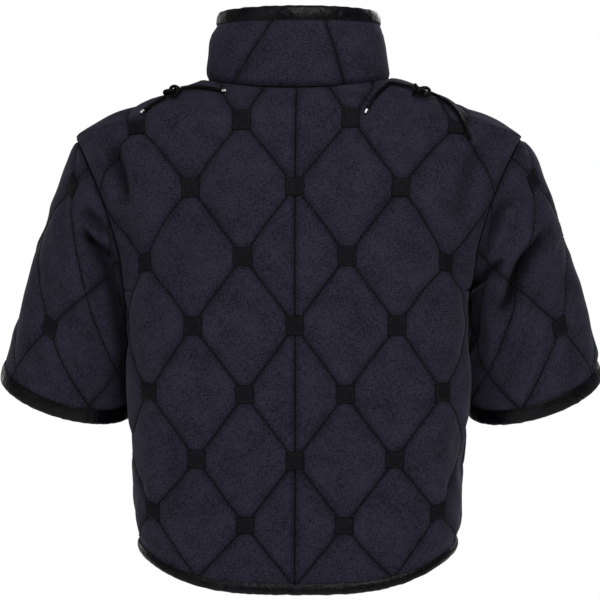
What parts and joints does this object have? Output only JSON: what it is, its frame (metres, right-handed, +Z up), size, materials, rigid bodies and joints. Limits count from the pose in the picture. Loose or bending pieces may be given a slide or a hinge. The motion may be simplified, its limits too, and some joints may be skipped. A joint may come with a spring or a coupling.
{
  "type": "gambeson",
  "caption": "Short quilted arming coat with a stand collar and short sleeves, hollow as worn, leather-bound edges, patched diamond quilting and laces on the shoulders.",
  "frame": {"origin": "middle of the neck's base, inside the collar's seam, where the wearer's neck and shoulders hold the garment up", "axes": "+Z up, the wearer faces -Y, the wearer's left is +X"},
  "size_m": [0.7186, 0.2771, 0.6701],
  "materials": {
    "wool": "dark navy charcoal heathered wool cloth, quilted, matt with a faint nap",
    "leather": "glossy black leather binding, lightly creased",
    "patch_cloth": "plain black cloth patches, box stitched",
    "waxed_lace": "black waxed round lace",
    "lace_tip": "small bright metal lace tips",
    "button_leather": "plain black leather covered buttons",
    "loop_cord": "black cord loops"
  },
  "bodies": {
    "root": {"back_left": "wool", "back_right": "wool", "front_left": "wool", "front_right": "wool", "sleeve_left": "wool", "sleeve_right": "wool", "collar": "wool", "collar_binding": "leather", "hem_binding": "leather", "front_binding_left": "leather", "front_binding_right": "leather", "cuff_binding_left": "leather", "cuff_binding_right": "leather", "patch_01": "patch_cloth", "patch_02": "patch_cloth", "patch_03": "patch_cloth", "patch_04": "patch_cloth", "patch_05": "patch_cloth", "patch_06": "patch_cloth", "patch_07": "patch_cloth", "patch_08": "patch_cloth", "patch_09": "patch_cloth", "patch_10": "patch_cloth", "patch_11": "patch_cloth", "patch_12": "patch_cloth", "patch_13": "patch_cloth", "patch_14": "patch_cloth", "patch_15": "patch_cloth", "patch_16": "patch_cloth", "patch_17": "patch_cloth", "patch_18": "patch_cloth", "patch_19": "patch_cloth", "patch_20": "patch_cloth", "patch_21": "patch_cloth", "patch_22": "patch_cloth", "patch_23": "patch_cloth", "patch_24": "patch_cloth", "patch_25": "patch_cloth", "patch_26": "patch_cloth", "patch_27": "patch_cloth", "patch_28": "patch_cloth", "patch_29": "patch_cloth", "lace_left_a": "waxed_lace", "lace_left_b": "waxed_lace", "lace_left_knot": "waxed_lace", "lace_right_a": "waxed_lace", "lace_right_b": "waxed_lace", "lace_right_knot": "waxed_lace", "lace_left_tip_a": "lace_tip", "lace_left_tip_b": "lace_tip", "lace_right_tip_a": "lace_tip", "button_1": "button_leather", "button_2": "button_leather", "button_3": "button_leather", "button_4": "button_leather", "loop_1": "loop_cord", "loop_2": "loop_cord", "loop_3": "loop_cord", "loop_4": "loop_cord"}
  },
  "joints": []
}
